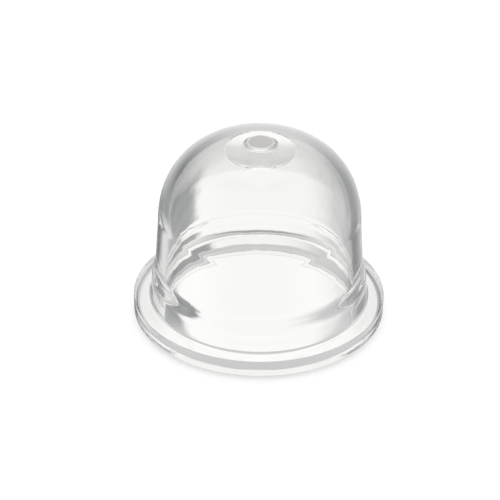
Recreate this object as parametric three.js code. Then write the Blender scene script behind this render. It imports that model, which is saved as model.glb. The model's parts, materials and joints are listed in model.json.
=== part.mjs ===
// Clear moulded primer bulb: a draughted dome with a thick collar, a flat sealing flange and a gate nub.
// Millimetres, +Z up. The origin is the centre of the flange's underside, on the bulb's axis.

import * as THREE from 'three';

// Flange
const flangeRadius = 11;
const flangeThickness = 1.8;
const flangeTopEdgeRound = 0.06;
const flangeFootRoundWidth = 0.72;
const flangeFootRoundHeight = 0.5;

// Collar at the root of the dome, which fills the hole of the retaining plate
const collarFootRadius = 9.56;
const collarTopRadius = 9.42;
const collarFootFillet = 0.12;
const collarHeight = 1.65;
const collarStepHeight = 1.95;
const collarStepBend = 0.45;

// Dome outside
const wallFootRadius = 9.06;
const shoulderRadius = 8.83;
const shoulderHeight = 9.45;
const domeHeight = 16.85;
const crownHeightExponent = 2.02;
const crownRadiusExponent = 2.71;

// Dome inside
const mouthRadius = 8.5;
const mouthEdgeRound = 0.12;
const shoulderWall = 0.9;
const crownWall = 0.9;
const ceilingRadius = 3.0;
const ceilingPadHeight = 0.08;

// Gate nub on the crown
const nubTopRadius = 1.09;
const nubFootRadius = 1.55;
const nubHeight = 0.24;

// Fineness of the facets
const roundSegments = 96;
const crownSteps = 13;
const stepSteps = 8;
const nubSteps = 5;
const footRoundSteps = 6;
const edgeSteps = 2;

const collarTop = flangeThickness + collarHeight;
const wallFoot = collarTop + collarStepHeight;

// The crown is a superellipse that leaves the wall upright and closes level on the axis.
// Its radius and height as fractions, at an angle from the wall to the axis.
function crownFraction(angle) {
	return new THREE.Vector2(
		Math.cos(angle) ** (2 / crownRadiusExponent),
		Math.sin(angle) ** (2 / crownHeightExponent)
	);
}

function crownAngle(radiusFraction) {
	return Math.acos(radiusFraction ** (crownRadiusExponent / 2));
}

// Points of a crown from its wall up to endRadius.
function crownCurve(radius, base, top, endRadius) {
	const endAngle = crownAngle(endRadius / radius);
	const points = [];
	for (let i = 0; i <= crownSteps; i++) {
		const fraction = crownFraction(endAngle * i / crownSteps);
		points.push(new THREE.Vector2(radius * fraction.x, base + (top - base) * fraction.y));
	}
	return points;
}

// A quarter round at a corner, from one angle to another, as wide and as high as asked.
function cornerRound(x, z, width, height, fromAngle, toAngle, steps) {
	const curve = new THREE.EllipseCurve(x, z, width, height, fromAngle, toAngle, toAngle < fromAngle);
	return curve.getPoints(steps);
}

// From the mouth's inner edge out to the flange's full, soft lower edge.
function underside() {
	const inner = cornerRound(
		mouthRadius + mouthEdgeRound, mouthEdgeRound, mouthEdgeRound, mouthEdgeRound, Math.PI, 1.5 * Math.PI, edgeSteps
	);
	const outer = cornerRound(
		flangeRadius - flangeFootRoundWidth, flangeFootRoundHeight, flangeFootRoundWidth, flangeFootRoundHeight,
		1.5 * Math.PI, 2 * Math.PI, footRoundSteps
	);
	return [...inner, ...outer];
}

// Over the flange's crisp upper edge and in to the small fillet at the collar's foot.
function flangeTop() {
	const edge = cornerRound(
		flangeRadius - flangeTopEdgeRound, flangeThickness - flangeTopEdgeRound, flangeTopEdgeRound, flangeTopEdgeRound,
		0, Math.PI / 2, edgeSteps
	);
	const fillet = cornerRound(
		collarFootRadius + collarFootFillet, flangeThickness + collarFootFillet, collarFootFillet, collarFootFillet,
		1.5 * Math.PI, Math.PI, edgeSteps
	);
	return [...edge, ...fillet];
}

// The collar's soft step in to the thinner wall.
function collarStep() {
	const bend = collarStepHeight * collarStepBend;
	const curve = new THREE.CubicBezierCurve(
		new THREE.Vector2(collarTopRadius, collarTop),
		new THREE.Vector2(collarTopRadius, collarTop + bend),
		new THREE.Vector2(wallFootRadius, wallFoot - bend),
		new THREE.Vector2(wallFootRadius, wallFoot)
	);
	return curve.getPoints(stepSteps);
}

// The nub's side rises in a soft S from the crown to its flat, cut top.
function nub(foot) {
	const side = [];
	for (let i = 1; i <= nubSteps; i++) {
		const share = i / nubSteps;
		side.push(new THREE.Vector2(
			foot.x + (nubTopRadius - foot.x) * share,
			foot.y + nubHeight * (1 - Math.cos(Math.PI * share)) / 2
		));
	}
	return [...side, new THREE.Vector2(0, foot.y + nubHeight)];
}

function domeOutside() {
	const crown = crownCurve(shoulderRadius, shoulderHeight, domeHeight, nubFootRadius);
	return [...crown, ...nub(crown[crown.length - 1])];
}

// From the flat round pad under the nub down to the mouth.
function domeInside() {
	const crown = crownCurve(shoulderRadius - shoulderWall, shoulderHeight, domeHeight - crownWall, ceilingRadius);
	const padFace = crown[crown.length - 1].y - ceilingPadHeight;
	return [
		new THREE.Vector2(0, padFace),
		new THREE.Vector2(ceilingRadius - ceilingPadHeight, padFace),
		...crown.reverse()
	];
}

function bulbGeometry() {
	const section = [...domeInside(), ...underside(), ...flangeTop(), ...collarStep(), ...domeOutside()];
	const geometry = new THREE.LatheGeometry(section, roundSegments);
	geometry.rotateX(Math.PI / 2);
	return geometry;
}

const clearPlastic = new THREE.MeshStandardMaterial({
	color: 0xeef1ec,
	roughness: 0.06,
	metalness: 0,
	transparent: true,
	opacity: 0.3
});

const bulb = new THREE.Mesh(bulbGeometry(), clearPlastic);
bulb.name = 'primer_bulb';

const part = new THREE.Group();
part.add(bulb);

export default part;
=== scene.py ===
"""Clear moulded primer bulb on a white table, laid out as an add-on and run as a script."""
import json
import math

import bmesh
import bpy
from bpy.props import FloatProperty, FloatVectorProperty, IntProperty, PointerProperty
from mathutils import Matrix, Vector


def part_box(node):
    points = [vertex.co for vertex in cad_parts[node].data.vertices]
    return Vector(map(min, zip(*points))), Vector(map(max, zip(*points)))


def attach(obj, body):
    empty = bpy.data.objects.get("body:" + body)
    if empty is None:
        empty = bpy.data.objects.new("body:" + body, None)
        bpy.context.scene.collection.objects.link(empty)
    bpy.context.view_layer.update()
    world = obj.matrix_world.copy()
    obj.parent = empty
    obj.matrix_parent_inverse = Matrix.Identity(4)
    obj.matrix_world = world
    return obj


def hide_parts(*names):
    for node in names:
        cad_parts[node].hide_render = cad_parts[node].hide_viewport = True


bl_info = {
    "name": "Primer Bulb",
    "version": (1, 0, 0),
    "blender": (4, 5, 0),
    "location": "3D View > Sidebar > Bulb",
    "description": "Makes a clear moulded primer bulb and the table, light and camera that show it",
    "category": "Object",
}

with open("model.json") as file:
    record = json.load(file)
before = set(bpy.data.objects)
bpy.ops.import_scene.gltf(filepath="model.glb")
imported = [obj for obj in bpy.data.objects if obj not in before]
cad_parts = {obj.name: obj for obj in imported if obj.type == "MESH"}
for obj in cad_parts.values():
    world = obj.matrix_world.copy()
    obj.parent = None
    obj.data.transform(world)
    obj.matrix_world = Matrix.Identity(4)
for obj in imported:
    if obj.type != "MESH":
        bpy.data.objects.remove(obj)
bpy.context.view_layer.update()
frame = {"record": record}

MM = 0.001
CAD_NODE = "primer_bulb"
PIECE = "moulded_bulb"

HALF_TURN = 180.0
WHITE = (1.0, 1.0, 1.0, 1.0)
WELD_DISTANCE = 0.001 * MM
SHARP_ANGLE = math.radians(25.0)

# Sockets of a colour Mix node
MIX_SHARE, MIX_START, MIX_END = 0, 6, 7
MIX_RESULT = 2

# Rows of faces along each stretch of the section
PAD_ROWS = 2
PAD_EDGE_ROWS = 1
CEILING_ROWS = 36
INNER_WALL_ROWS = 12
MOUTH_ROUND_ROWS = 6
UNDERSIDE_ROWS = 3
FOOT_ROUND_ROWS = 16
RIM_ROWS = 3
TOP_EDGE_ROWS = 5
FLANGE_TOP_ROWS = 3
FILLET_ROWS = 6
COLLAR_ROWS = 4
STEP_ROWS = 16
OUTER_WALL_ROWS = 8
CROWN_ROWS = 44
NUB_SIDE_ROWS = 10
NUB_TOP_ROWS = 2

# The nub's cut fades out between these shares of its top radius, and is full this far above the crown
CUT_EDGE = (0.93, 1.02)
CUT_RISE = 0.1 * MM

# The haze rises between these values of the flow's noise
HAZE_EDGE = (0.45, 0.8)

# Spans of the room in degrees of azimuth: where each begins, is full, begins to fade and ends
UPPER_LEFT = (-60.0, -40.0, -14.0, -2.0)
LEFT_BOARD = (-30.0, -24.0, -9.0, -5.0)
LEFT_GAP = (-75.0, -55.0, -36.0, -27.0)
RIGHT_BOARD = (20.0, 34.0, 46.0, 56.0)

# The same for the boards in degrees of elevation
BOARD_HEIGHT = (-47.0, -43.0, -29.0, -22.0)

# Soft edges of the room in degrees away from straight behind the bulb
BACKDROP_SIDES = (4.0, 38.0)
ROOM_SIDES = (44.0, 80.0)
CAMERA_SIDE = (100.0, 160.0)
FRONT_PAPER_SIDES = (110.0, 150.0)
SKY_SIDES = (22.0, 60.0)

# Soft edges of the room in degrees of elevation
UPPER_LEFT_FOOT = (-14.0, -3.0)
NEAR_PAPER = (-50.0, -42.0)
PAPER_TAPER = (-43.0, -35.0)
PAPER_FAR_EDGE = (-30.0, -22.0)
FRONT_PAPER_EDGE = (-46.0, -34.0)
SKY_FOOT = (4.0, 30.0)

# Sides of the bright paper in degrees of azimuth, how they move, and how soft they are
PAPER_LEFT = -9.5
PAPER_LEFT_TAPER = 3.0
PAPER_RIGHT = 7.0
PAPER_WIDENING = 20.0
LEFT_SOFTNESS = 1.2
RIGHT_SOFTNESS = 4.5

# Rings of shade on the paper in millimetres from the edge that they follow, and where on the round they are
MOUTH_RING = (-1.7, -0.9, 0.0, 0.2)
RIM_RING = (-0.8, -0.5, 0.0, 0.4)
FLANGE_RING = (-2.5, -0.9, -0.2, 0.5)
FRONT_SHARE = (0.1, 0.6)
SIDE_SHARE = (0.8, 0.99)

# The two level sheets lie just under the bulb, so that nothing touches it
TABLE_HALF_WIDTH = 1500.0 * MM
TABLE_DROP = 0.02 * MM
SHADE_HALF_WIDTH = 20.0 * MM
SHADE_DROP = 0.01 * MM

# The camera's sensor is in millimetres, as its lens is
SENSOR_WIDTH = 36.0
NEAREST_VIEW = 1.0 * MM
LIGHT_BOUNCES = 32


def mount_height(name):
    """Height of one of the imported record's mounts."""
    return next(m["pos_m"][2] for m in frame["record"]["mounts"] if m["name"] == name)


def length(name, description, millimetres):
    """A length that is shown in the scene's unit."""
    return FloatProperty(
        name=name, description=description, default=millimetres * MM, min=0.0, unit="LENGTH", precision=5
    )


def number(name, description, value, low=0.0, high=100.0):
    """A plain number."""
    return FloatProperty(name=name, description=description, default=value, min=low, max=high)


def factor(name, description, value):
    """A share from 0 to 1."""
    return FloatProperty(
        name=name, description=description, default=value, min=0.0, max=1.0, subtype="FACTOR"
    )


def colour(name, description, value):
    """A colour without alpha."""
    return FloatVectorProperty(
        name=name, description=description, default=value, size=3, min=0.0, max=1.0, subtype="COLOR"
    )


def degrees(name, description, value):
    """An angle."""
    return FloatProperty(name=name, description=description, default=math.radians(value), subtype="ANGLE")


class BulbSizes(bpy.types.PropertyGroup):
    """Sizes of the bulb's section, from the flange up to the gate nub."""
    flange_radius: length("Flange Radius", "Outer radius of the sealing flange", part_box(CAD_NODE)[1].x / MM)
    flange_thickness: length(
        "Flange Thickness", "Height of the flange's upper face", mount_height("flange_top") / MM
    )
    top_edge_round: length("Top Edge Round", "Rounding of the flange's upper edge", 0.06)
    foot_round_width: length("Foot Round Width", "How far the flange's soft lower edge reaches in", 0.72)
    foot_round_height: length("Foot Round Height", "How far the flange's soft lower edge reaches up", 0.5)
    collar_foot_radius: length("Collar Foot Radius", "Radius of the collar where it meets the flange", 9.56)
    collar_fillet: length("Collar Fillet", "Fillet between the flange and the collar", 0.12)
    collar_top_radius: length("Collar Top Radius", "Radius of the collar below its step", 9.42)
    collar_height: length("Collar Height", "Height of the collar above the flange", 1.65)
    step_height: length("Step Height", "Height of the soft step from the collar to the wall", 1.95)
    step_bend: factor("Step Bend", "How far the step's two bends reach, as a share of its height", 0.45)
    wall_foot_radius: length("Wall Foot Radius", "Radius of the wall above the step", 9.06)
    shoulder_radius: length("Shoulder Radius", "Radius of the wall where the crown begins", 8.83)
    shoulder_height: length("Shoulder Height", "Height at which the crown begins", 9.45)
    dome_height: length("Dome Height", "Height of the crown without its nub", 16.85)
    crown_height_power: number("Crown Height Power", "Fullness of the crown towards its top", 2.02, 1.0, 6.0)
    crown_radius_power: number("Crown Radius Power", "Fullness of the crown towards the wall", 2.71, 1.0, 6.0)
    mouth_radius: length("Mouth Radius", "Radius of the open mouth", 8.5)
    mouth_round: length("Mouth Round", "Rounding of the mouth's inner edge", 0.12)
    shoulder_wall: length("Shoulder Wall", "Wall thickness where the crown begins", 0.9)
    crown_wall: length("Crown Wall", "Wall thickness under the nub", 0.9)
    pad_radius: length("Pad Radius", "Radius of the flat pad inside the crown", 3.0)
    pad_height: length("Pad Height", "How far the pad stands down from the crown", 0.08)
    nub_top_radius: length("Nub Top Radius", "Radius of the nub's cut top", 1.09)
    nub_foot_radius: length("Nub Foot Radius", "Radius at which the nub rises from the crown", 1.55)
    nub_height: length("Nub Height", "Height of the nub", 0.24)


class BulbFinish(bpy.types.PropertyGroup):
    """The clear plastic and the marks that moulding leaves in it."""
    tint: colour("Tint", "Tint of the clear plastic", (0.998, 1.0, 0.99))
    # The cut top's grey tint is painted shade: a darker colour that dims the light passing through the cut
    cut_shade_tint: colour("Cut Shade Tint", "Tint of the nub's cut top", (0.52, 0.5, 0.495))
    refraction: number("Refraction", "Index of refraction of the plastic", 1.5, 1.0, 2.5)
    gloss_roughness: factor("Gloss Roughness", "Roughness of the glossy skin", 0.012)
    cut_roughness: factor("Cut Roughness", "Roughness of the nub's cut top", 0.35)
    flow_scale: number("Flow Scale", "Fineness of the ripple that flow leaves", 420.0, 0.0, 10000.0)
    ripple: factor("Ripple", "Strength of the ripple that flow leaves", 0.25)
    grain_scale: number("Grain Scale", "Fineness of the grain of the nub's cut top", 5200.0, 0.0, 10000.0)
    cut_grain: factor("Cut Grain", "Strength of the grain of the nub's cut top", 0.08)
    relief: length("Relief", "Height of the ripple and the grain at full strength", 0.05)
    segments: IntProperty(name="Segments", description="Faces round the axis", default=256, min=16, max=512)


class RoomTones(bpy.types.PropertyGroup):
    """Tones of the room that the clear plastic shows, from 0 for its shade to 1 for its light."""
    backdrop: factor("Backdrop", "Tone of the backdrop straight behind the bulb", 0.63)
    backdrop_dimming: factor("Backdrop Dimming", "How much the backdrop dims towards its sides", 0.31)
    left_dimming: factor("Left Dimming", "How much dimmer still the backdrop's upper left is", 0.13)
    side_light: factor("Side Light", "How much lighter the room is beyond the backdrop's sides", 0.5)
    camera_dimming: factor("Camera Dimming", "How much the room dims towards the camera's side", 0.56)
    left_board: factor("Left Board", "How much the left board darkens the backdrop", 0.34)
    right_board: factor("Right Board", "How much the right board darkens the backdrop", 0.06)
    left_gap: factor("Left Gap", "How much light passes outside the left board", 0.42)
    front_paper: factor("Front Paper", "Tone of the paper in front of the bulb", 0.97)
    sky: factor("Sky", "Tone of the soft light above", 0.98)
    sky_dimming: factor("Sky Dimming", "How much the soft light above dims towards its sides", 0.4)


class StudioSettings(bpy.types.PropertyGroup):
    """The table, the light and the camera."""
    floor_colour: colour("Floor Colour", "Colour of the table top", (0.86, 0.86, 0.86))
    light_colour: colour("Light Colour", "Colour of the bright surroundings", (1.0, 1.0, 0.99))
    shade_colour: colour("Shade Colour", "Colour of the dark surroundings", (0.0, 0.009, 0.024))
    contact_colour: colour("Contact Colour", "Colour of the shaded paper by the bulb", (0.6, 0.6, 0.605))
    side_contact: factor("Side Contact", "Strength of the shade under the flange's two sides", 0.45)
    shadow_share: factor("Shadow Share", "How much of the table's own shading shows to the camera", 0.3)
    lamp_power: number("Lamp Power", "Power of the soft lamp overhead, in watts", 3.0, 0.0, 1000.0)
    lamp_width: length("Lamp Width", "Diameter of the soft lamp overhead", 500.0)
    lamp_height: length("Lamp Height", "Height of the soft lamp overhead", 600.0)
    camera_elevation: degrees("Camera Elevation", "Height of the camera above the horizon", 32.416)
    camera_roll: degrees("Camera Roll", "Turn of the camera about its own axis", 0.628)
    camera_distance: length("Camera Distance", "Distance from the camera to what it looks at", 250.0)
    camera_lens: number("Camera Lens", "Focal length in millimetres", 205.96, 1.0, 1000.0)
    aim_side: FloatProperty(
        name="Aim Side", description="Sideways place of the point that the camera looks at",
        default=-0.813 * MM, unit="LENGTH", precision=5
    )
    aim_height: length("Aim Height", "Height of the point that the camera looks at", 6.09)


class Term:
    """A node's output that takes part in arithmetic, each step of which adds a Math node."""

    def __init__(self, graph, socket):
        self.graph = graph
        self.socket = socket

    def math(self, operation, *others):
        return self.graph.term("ShaderNodeMath", {"operation": operation}, dict(enumerate((self, *others))))

    def __add__(self, other):
        return self.math("ADD", other)

    def __sub__(self, other):
        return self.math("SUBTRACT", other)

    def __mul__(self, other):
        return self.math("MULTIPLY", other)

    def __truediv__(self, other):
        return self.math("DIVIDE", other)

    def __pow__(self, other):
        return self.math("POWER", other)

    def __neg__(self):
        return self.math("MULTIPLY", -1.0)

    def __rsub__(self, other):
        return -self + other

    def __rtruediv__(self, other):
        return self.graph.term("ShaderNodeMath", {"operation": "DIVIDE"}, {0: other, 1: self})

    __radd__ = __add__
    __rmul__ = __mul__

    def between(self, low, high):
        """0 below low, 1 above high and a soft rise between them."""
        settings = {"interpolation_type": "SMOOTHSTEP"}
        values = {"Value": self, "From Min": low, "From Max": high}
        return self.graph.term("ShaderNodeMapRange", settings, values)

    def span(self, begin, full, fade, end):
        """1 from full to fade, with a soft rise before and a soft fall after."""
        return self.between(begin, full) * (1.0 - self.between(fade, end))


class Graph:
    """A node tree with one method that adds any node."""

    def __init__(self, tree):
        self.tree = tree

    def node(self, kind, settings=None, values=None):
        """Adds a node, sets it up, and gives its sockets values or links."""
        node = self.tree.nodes.new(kind)
        for key, value in (settings or {}).items():
            setattr(node, key, value)
        for key, value in (values or {}).items():
            self.feed(node.inputs[key], value)
        return node

    def feed(self, socket, value):
        if isinstance(value, Term):
            self.tree.links.new(value.socket, socket)
        elif isinstance(value, (list, tuple)) and value and isinstance(value[0], Term):
            for term in value:
                self.tree.links.new(term.socket, socket)
        else:
            socket.default_value = value

    def term(self, kind, settings=None, values=None, output=0):
        """Adds a node and returns one of its outputs."""
        return Term(self, self.node(kind, settings, values).outputs[output])

    def axes(self, vector):
        """The three coordinates of a vector."""
        parts = self.node("ShaderNodeSeparateXYZ", None, {"Vector": vector})
        return [Term(self, output) for output in parts.outputs]

    def mix_colour(self, share, start, end):
        """The colour that lies a share of the way from one to another."""
        values = {MIX_SHARE: share, MIX_START: (*start, 1.0), MIX_END: (*end, 1.0)}
        return self.term("ShaderNodeMix", {"data_type": "RGBA"}, values, MIX_RESULT)

    def mix_shader(self, share, start, end):
        """The shader that lies a share of the way from one to another."""
        return self.term("ShaderNodeMixShader", None, {0: share, 1: start, 2: end})


def fresh_graph(owner):
    """Empties the node tree of a material or a world and returns its graph."""
    owner.use_nodes = True
    owner.node_tree.nodes.clear()
    return Graph(owner.node_tree)


def add_mesh_object(name, corners, faces):
    mesh = bpy.data.meshes.new(name)
    mesh.from_pydata(corners, [], faces)
    piece = bpy.data.objects.new(name, mesh)
    bpy.context.scene.collection.objects.link(piece)
    return piece


class Section:
    """Strips of a round section.

    Each one is a grid whose rows follow a line and whose columns go round the axis."""

    def __init__(self, graph, segments):
        self.graph = graph
        self.segments = segments
        self.strips = []

    def strip(self, rows, line):
        """Adds the strip whose radius and height line() gives for a share from 0 to 1 of its length."""
        graph = self.graph
        corners = {"Vertices X": self.segments + 1, "Vertices Y": rows + 1}
        grid = graph.term("GeometryNodeMeshGrid", None, corners)
        index = graph.term("GeometryNodeInputIndex")
        column = (index / (rows + 1)).math("FLOOR")
        angle = column * (2 * math.pi / self.segments)
        radius, height = line((index - column * (rows + 1)) / rows)
        place = graph.term("ShaderNodeCombineXYZ", None, {
            "X": angle.math("COSINE") * radius, "Y": angle.math("SINE") * radius, "Z": height
        })
        moved = graph.term("GeometryNodeSetPosition", None, {"Geometry": grid, "Position": place})
        self.strips.append(moved)

    def straight(self, rows, start, end):
        self.strip(rows, lambda share: tuple(share * (b - a) + a for a, b in zip(start, end)))

    def arc(self, rows, centre, width, height, start, end):
        """A quarter of an ellipse, from one angle to another in degrees."""
        def line(share):
            angle = share * math.radians(end - start) + math.radians(start)
            return angle.math("COSINE") * width + centre[0], angle.math("SINE") * height + centre[1]
        self.strip(rows, line)

    def crown(self, rows, wall, top, powers, end_radius, downwards):
        """A superellipse that leaves the wall upright and closes level on the axis."""
        radius, base = wall
        height_power, radius_power = powers
        end_angle = ((end_radius / radius) ** (radius_power / 2.0)).math("ARCCOSINE")

        def line(share):
            angle = (1.0 - share if downwards else share) * end_angle
            rise = angle.math("SINE").math("MAXIMUM", 0.0) ** (2.0 / height_power)
            return angle.math("COSINE") ** (2.0 / radius_power) * radius, rise * (top - base) + base
        self.strip(rows, line)

    def bend(self, rows, start, end, reach):
        """A cubic step that leaves and arrives upright."""
        def line(share):
            back = 1.0 - share
            pull = back * back * share * 3.0
            push = back * share * share * 3.0
            near = back * back * back
            far = share * share * share
            radius = (near + pull) * start[0] + (push + far) * end[0]
            height = near * start[1] + pull * (start[1] + reach) + push * (end[1] - reach) + far * end[1]
            return radius, height
        self.strip(rows, line)

    def wave(self, rows, start, end):
        """Half a cosine from one level to another."""
        def line(share):
            rise = (1.0 - (share * math.pi).math("COSINE")) * 0.5
            return share * (end[0] - start[0]) + start[0], rise * (end[1] - start[1]) + start[1]
        self.strip(rows, line)


def crown_height(radius, base, top, powers, at_radius):
    """Height of a crown at a radius."""
    return (1.0 - (at_radius / radius) ** powers[1]) ** (1.0 / powers[0]) * (top - base) + base


def bulb_section(section, size):
    """All the bulb's strips, from the pad inside the crown down to the mouth, then up outside to the nub."""
    powers = (size["crown_height_power"], size["crown_radius_power"])
    flange_top = size["flange_thickness"]
    rim = size["flange_radius"]
    inner_radius = size["shoulder_radius"] - size["shoulder_wall"]
    inner_top = size["dome_height"] - size["crown_wall"]
    ceiling = crown_height(inner_radius, size["shoulder_height"], inner_top, powers, size["pad_radius"])
    pad_edge = (size["pad_radius"] - size["pad_height"], ceiling - size["pad_height"])
    mouth = size["mouth_radius"]
    mouth_round = size["mouth_round"]
    foot_width = size["foot_round_width"]
    foot_height = size["foot_round_height"]
    edge = size["top_edge_round"]
    fillet = size["collar_fillet"]
    collar_foot = size["collar_foot_radius"]
    collar_top = (size["collar_top_radius"], flange_top + size["collar_height"])
    wall_foot = (size["wall_foot_radius"], collar_top[1] + size["step_height"])
    shoulder = (size["shoulder_radius"], size["shoulder_height"])
    nub_foot_height = crown_height(*shoulder, size["dome_height"], powers, size["nub_foot_radius"])
    nub_foot = (size["nub_foot_radius"], nub_foot_height)
    nub_top = (size["nub_top_radius"], nub_foot_height + size["nub_height"])

    section.straight(PAD_ROWS, (0.0, pad_edge[1]), pad_edge)
    section.straight(PAD_EDGE_ROWS, pad_edge, (size["pad_radius"], ceiling))
    inner_wall = (inner_radius, size["shoulder_height"])
    section.crown(CEILING_ROWS, inner_wall, inner_top, powers, size["pad_radius"], True)
    section.straight(INNER_WALL_ROWS, inner_wall, (mouth, mouth_round))
    mouth_centre = (mouth + mouth_round, mouth_round)
    section.arc(MOUTH_ROUND_ROWS, mouth_centre, mouth_round, mouth_round, 180, 270)
    section.straight(UNDERSIDE_ROWS, (mouth + mouth_round, 0.0), (rim - foot_width, 0.0))
    section.arc(FOOT_ROUND_ROWS, (rim - foot_width, foot_height), foot_width, foot_height, -90, 0)
    section.straight(RIM_ROWS, (rim, foot_height), (rim, flange_top - edge))
    section.arc(TOP_EDGE_ROWS, (rim - edge, flange_top - edge), edge, edge, 0, 90)
    section.straight(FLANGE_TOP_ROWS, (rim - edge, flange_top), (collar_foot + fillet, flange_top))
    section.arc(FILLET_ROWS, (collar_foot + fillet, flange_top + fillet), fillet, fillet, 270, 180)
    section.straight(COLLAR_ROWS, (collar_foot, flange_top + fillet), collar_top)
    section.bend(STEP_ROWS, collar_top, wall_foot, size["step_height"] * size["step_bend"])
    section.straight(OUTER_WALL_ROWS, wall_foot, shoulder)
    section.crown(CROWN_ROWS, shoulder, size["dome_height"], powers, size["nub_foot_radius"], False)
    section.wave(NUB_SIDE_ROWS, nub_foot, nub_top)
    section.straight(NUB_TOP_ROWS, nub_top, (0.0, nub_top[1]))


def bulb_tree(sizes, segments):
    """Builds the tree that carries the section round the axis, and returns it with its sockets by name."""
    tree = bpy.data.node_groups.new("Round Bulb", "GeometryNodeTree")
    tree.interface.new_socket(name="Geometry", in_out="OUTPUT", socket_type="NodeSocketGeometry")
    sockets = {}
    for key, prop in sizes.bl_rna.properties.items():
        if prop.type == "FLOAT":
            socket = tree.interface.new_socket(name=prop.name, in_out="INPUT", socket_type="NodeSocketFloat")
            socket.description = prop.description
            socket.default_value = prop.default
            sockets[key] = socket
    skin = tree.interface.new_socket(name="Material", in_out="INPUT", socket_type="NodeSocketMaterial")
    sockets["material"] = skin
    graph = Graph(tree)
    entry = graph.node("NodeGroupInput")
    named = {key: Term(graph, entry.outputs[socket.name]) for key, socket in sockets.items()}
    section = Section(graph, segments)
    bulb_section(section, named)
    joined = graph.term("GeometryNodeJoinGeometry", None, {"Geometry": section.strips})
    welded = graph.term("GeometryNodeMergeByDistance", None, {"Geometry": joined, "Distance": WELD_DISTANCE})
    smooth = graph.term("GeometryNodeSetShadeSmooth", None, {"Geometry": welded, "Shade Smooth": True})
    solid = graph.term("GeometryNodeRealizeInstances", None, {"Geometry": smooth})
    dressed = graph.term("GeometryNodeSetMaterial", None, {"Geometry": solid, "Material": named["material"]})
    graph.node("NodeGroupOutput", None, {"Geometry": dressed})
    return tree, sockets


def plain_mesh(piece, name):
    """Turns what the piece's modifiers make into its own plain mesh."""
    evaluated = piece.evaluated_get(bpy.context.evaluated_depsgraph_get())
    mesh = bpy.data.meshes.new_from_object(evaluated)
    mesh.name = name
    piece.modifiers.clear()
    piece.data = mesh
    return mesh


def clear_plastic(finish, sizes):
    """Clear plastic with a faint flow ripple, and a dull cut top on the nub whose grey tint is painted shade.
    """
    material = bpy.data.materials.new("clear_plastic")
    graph = fresh_graph(material)
    place = graph.term("ShaderNodeTexCoord", output="Object")
    x, y, z = graph.axes(place)
    radius = (x * x + y * y).math("SQRT")
    crown_top = sizes.dome_height
    outside_cut = radius.between(*(sizes.nub_top_radius * share for share in CUT_EDGE))
    cut = (1.0 - outside_cut) * z.between(crown_top, crown_top + CUT_RISE)

    flow = {"Vector": place, "Scale": finish.flow_scale, "Detail": 2.0, "Roughness": 0.5}
    melt = graph.term("ShaderNodeTexNoise", None, flow)
    saw_marks = {"Vector": place, "Scale": finish.grain_scale, "Detail": 3.0, "Roughness": 0.6}
    grain = graph.term("ShaderNodeTexNoise", None, saw_marks)
    haze = melt.between(*HAZE_EDGE) * finish.gloss_roughness
    roughness = haze + finish.gloss_roughness / 2.0 + cut * finish.cut_roughness
    # The cut top is tinted grey: painted shade over its real roughness and grain
    tint = graph.mix_colour(cut, finish.tint, finish.cut_shade_tint)
    height = melt * finish.ripple + cut * grain * finish.cut_grain
    relief = {"Strength": 1.0, "Distance": finish.relief, "Height": height}
    bump = graph.term("ShaderNodeBump", None, relief)
    skin = graph.term("ShaderNodeBsdfPrincipled", None, {
        "Base Color": tint, "Roughness": roughness, "Normal": bump,
        "IOR": finish.refraction, "Transmission Weight": 1.0
    })
    graph.node("ShaderNodeOutputMaterial", None, {"Surface": skin})
    return material


class BulbOperator:
    """What the add-on's operators share."""
    bl_options = {"REGISTER", "UNDO"}


class OBJECT_OT_moulded_bulb(BulbOperator, bpy.types.Operator):
    """Make the clear moulded bulb from its section"""
    bl_idname = "object.moulded_bulb"
    bl_label = "Moulded Bulb"

    def execute(self, context):
        sizes = context.scene.bulb_sizes
        finish = context.scene.bulb_finish
        piece = add_mesh_object(PIECE, [], [])
        tree, sockets = bulb_tree(sizes, finish.segments)
        modifier = piece.modifiers.new("Round Bulb", "NODES")
        modifier.node_group = tree
        for key, socket in sockets.items():
            if key != "material":
                modifier[socket.identifier] = getattr(sizes, key)
        modifier[sockets["material"].identifier] = clear_plastic(finish, sizes)
        mesh = plain_mesh(piece, PIECE)
        mesh.set_sharp_from_angle(angle=SHARP_ANGLE)
        shell = bmesh.new()
        shell.from_mesh(mesh)
        volume = shell.calc_volume(signed=True)
        open_edges = sum(not edge.is_manifold for edge in shell.edges)
        shell.free()
        if volume <= 0.0 or open_edges:
            raise RuntimeError(f"the bulb isn't a closed shell that faces outwards: {volume}, {open_edges}")
        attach(piece, "root")
        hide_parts(CAD_NODE)
        return {"FINISHED"}


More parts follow.
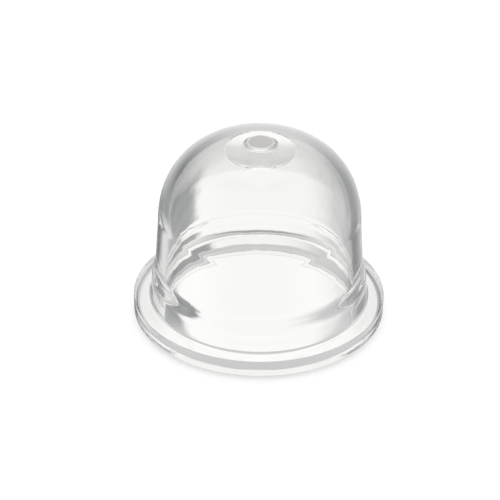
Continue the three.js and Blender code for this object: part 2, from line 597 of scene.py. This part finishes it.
def room_tone(azimuth, elevation, tones):
    """Tone of the room in a direction in degrees, from 0 for its shade to 1 for its light.

    Azimuth is 0 straight behind the bulb and positive to the right. Elevation is above the horizon."""
    aside = azimuth.math("ABSOLUTE")

    # The backdrop dims towards its sides. The room is lighter beyond them and dim behind the camera.
    upper_left = azimuth.span(*UPPER_LEFT) * elevation.between(*UPPER_LEFT_FOOT)
    behind_bulb = tones.backdrop - aside.between(*BACKDROP_SIDES) * tones.backdrop_dimming
    room = behind_bulb + aside.between(*ROOM_SIDES) * tones.side_light
    room = room - aside.between(*CAMERA_SIDE) * tones.camera_dimming
    backdrop = room - upper_left * tones.left_dimming

    # Boards stand at both sides of the paper, and light passes outside the left one.
    low = elevation.span(*BOARD_HEIGHT)
    darkening = azimuth.span(*LEFT_BOARD) * tones.left_board + azimuth.span(*RIGHT_BOARD) * tones.right_board
    boards = backdrop - darkening * low
    sides = boards + azimuth.span(*LEFT_GAP) * low * tones.left_gap

    # Bright paper lies under and behind the bulb. It is wider where it is nearer.
    steep = 1.0 - elevation.between(*NEAR_PAPER)
    left = elevation.between(*PAPER_TAPER) * PAPER_LEFT_TAPER - steep * PAPER_WIDENING + PAPER_LEFT
    right = steep * PAPER_WIDENING + PAPER_RIGHT
    patch = azimuth.span(
        left - LEFT_SOFTNESS, left + LEFT_SOFTNESS, right - RIGHT_SOFTNESS, right + RIGHT_SOFTNESS
    )
    before_far_edge = 1.0 - elevation.between(*PAPER_FAR_EDGE)
    behind = sides + (1.0 - sides) * patch * before_far_edge

    # The near wall reflects the paper in front.
    front = aside.between(*FRONT_PAPER_SIDES) * (1.0 - elevation.between(*FRONT_PAPER_EDGE))
    paper = behind + (tones.front_paper - behind) * front

    # Soft light comes from above, most of it from behind the bulb.
    sky = tones.sky - aside.between(*SKY_SIDES) * tones.sky_dimming
    return paper + (sky - paper) * elevation.between(*SKY_FOOT)


def surroundings(world, studio, tones):
    """The room for what the bulb reflects and shows through, and plain white for the camera."""
    graph = fresh_graph(world)
    x, y, z = graph.axes(graph.term("ShaderNodeTexCoord", output="Generated"))
    azimuth = x.math("ARCTAN2", y) * (HALF_TURN / math.pi)
    elevation = z.math("ARCSINE") * (HALF_TURN / math.pi)
    shade = graph.mix_colour(room_tone(azimuth, elevation, tones), studio.shade_colour, studio.light_colour)
    lit = graph.term("ShaderNodeBackground", None, {"Color": shade})
    white = graph.term("ShaderNodeBackground", None, {"Color": WHITE})
    seen = graph.term("ShaderNodeLightPath", output="Is Camera Ray")
    graph.node("ShaderNodeOutputWorld", None, {"Surface": graph.mix_shader(seen, lit, white)})


def contact_shade(sizes, studio):
    """Dim paper by the front of the rim and of the mouth and under the flange's sides, clear elsewhere."""
    material = bpy.data.materials.new("contact_shade")
    graph = fresh_graph(material)
    x, y, _ = graph.axes(graph.term("ShaderNodeTexCoord", output="Object"))
    radius = (x * x + y * y).math("SQRT")

    def ring(edge, steps):
        """A soft ring that follows an edge, by its steps from it in millimetres."""
        return radius.span(*(edge + step * MM for step in steps))

    front = (-y / radius).between(*FRONT_SHARE)
    side = (x.math("ABSOLUTE") / radius).between(*SIDE_SHARE) * studio.side_contact
    inside = ring(sizes.mouth_radius, MOUTH_RING) * front
    under_rim = ring(sizes.flange_radius, RIM_RING) * front
    under_flange = ring(sizes.flange_radius, FLANGE_RING) * side
    share = inside.math("MAXIMUM", under_rim).math("MAXIMUM", under_flange)
    dim = graph.term("ShaderNodeEmission", None, {"Color": (*studio.contact_colour, 1.0)})
    clear = graph.term("ShaderNodeBsdfTransparent")
    graph.node("ShaderNodeOutputMaterial", None, {"Surface": graph.mix_shader(share, clear, dim)})
    return material


def table_paper(studio):
    """White paper that shows white to the camera and keeps a soft shadow."""
    material = bpy.data.materials.new("table_paper")
    graph = fresh_graph(material)
    paper = graph.term("ShaderNodeBsdfDiffuse", None, {"Color": (*studio.floor_colour, 1.0)})
    white = graph.term("ShaderNodeEmission", None, {"Color": WHITE})
    seen = graph.term("ShaderNodeLightPath", output="Is Camera Ray")
    mixed = graph.mix_shader(seen * (1.0 - studio.shadow_share), paper, white)
    graph.node("ShaderNodeOutputMaterial", None, {"Surface": mixed})
    return material


def flat_sheet(name, half, height, material):
    """A level square sheet that belongs to the stage."""
    corners = [(-half, -half, height), (half, -half, height), (half, half, height), (-half, half, height)]
    sheet = add_mesh_object(name, corners, [(0, 1, 2, 3)])
    sheet.data.materials.append(material)
    return sheet


class OBJECT_OT_bulb_stage(BulbOperator, bpy.types.Operator):
    """Lay the table, light it and place the camera"""
    bl_idname = "object.bulb_stage"
    bl_label = "Table, Light and Camera"

    def execute(self, context):
        scene = context.scene
        studio = scene.bulb_studio
        table = flat_sheet("table_top", TABLE_HALF_WIDTH, -TABLE_DROP, table_paper(studio))
        table.visible_transmission = False
        table.visible_glossy = False
        dim_paper = contact_shade(scene.bulb_sizes, studio)
        shade = flat_sheet("contact_shade", SHADE_HALF_WIDTH, -SHADE_DROP, dim_paper)
        shade.visible_camera = False
        shade.visible_diffuse = False
        shade.visible_shadow = False

        scene.world = bpy.data.worlds.new("Bulb Surroundings")
        surroundings(scene.world, studio, scene.bulb_room)

        lamp = bpy.data.lights.new("overhead_softbox", "AREA")
        lamp.shape = "DISK"
        lamp.size = studio.lamp_width
        lamp.energy = studio.lamp_power
        softbox = bpy.data.objects.new("overhead_softbox", lamp)
        softbox.location = (0.0, 0.0, studio.lamp_height)
        softbox.visible_glossy = False
        softbox.visible_transmission = False
        softbox.visible_camera = False
        scene.collection.objects.link(softbox)

        lens = bpy.data.cameras.new("bulb_camera")
        lens.lens = studio.camera_lens
        lens.sensor_width = SENSOR_WIDTH
        lens.clip_start = NEAREST_VIEW
        camera = bpy.data.objects.new("bulb_camera", lens)
        scene.collection.objects.link(camera)
        elevation = studio.camera_elevation
        back = Vector((0.0, -math.cos(elevation), math.sin(elevation)))
        aim = Vector((studio.aim_side, 0.0, studio.aim_height))
        facing = (-back).to_track_quat("-Z", "Y").to_matrix().to_4x4()
        turn = facing @ Matrix.Rotation(studio.camera_roll, 4, "Z")
        camera.matrix_world = Matrix.Translation(aim + back * studio.camera_distance) @ turn
        scene.camera = camera

        scene.view_settings.view_transform = "Standard"
        scene.cycles.max_bounces = LIGHT_BOUNCES
        scene.cycles.transmission_bounces = LIGHT_BOUNCES
        scene.cycles.glossy_bounces = LIGHT_BOUNCES
        return {"FINISHED"}


class VIEW3D_PT_primer_bulb(bpy.types.Panel):
    """Lists the bulb's operators"""
    bl_label = "Primer Bulb"
    bl_idname = "VIEW3D_PT_primer_bulb"
    bl_space_type = "VIEW_3D"
    bl_region_type = "UI"
    bl_category = "Bulb"

    def draw(self, context):
        for operator in OPERATORS:
            self.layout.operator(operator.bl_idname)


GROUPS = {
    "bulb_sizes": BulbSizes, "bulb_finish": BulbFinish, "bulb_room": RoomTones, "bulb_studio": StudioSettings
}
OPERATORS = (OBJECT_OT_moulded_bulb, OBJECT_OT_bulb_stage)


def register():
    for name, group in GROUPS.items():
        bpy.utils.register_class(group)
        setattr(bpy.types.Scene, name, PointerProperty(type=group))
    for kind in (*OPERATORS, VIEW3D_PT_primer_bulb):
        bpy.utils.register_class(kind)


def unregister():
    for kind in (VIEW3D_PT_primer_bulb, *reversed(OPERATORS)):
        bpy.utils.unregister_class(kind)
    for name, group in reversed(GROUPS.items()):
        delattr(bpy.types.Scene, name)
        bpy.utils.unregister_class(group)


def main():
    register()
    bpy.ops.object.moulded_bulb()
    bpy.ops.object.bulb_stage()


if __name__ == "__main__":
    main()
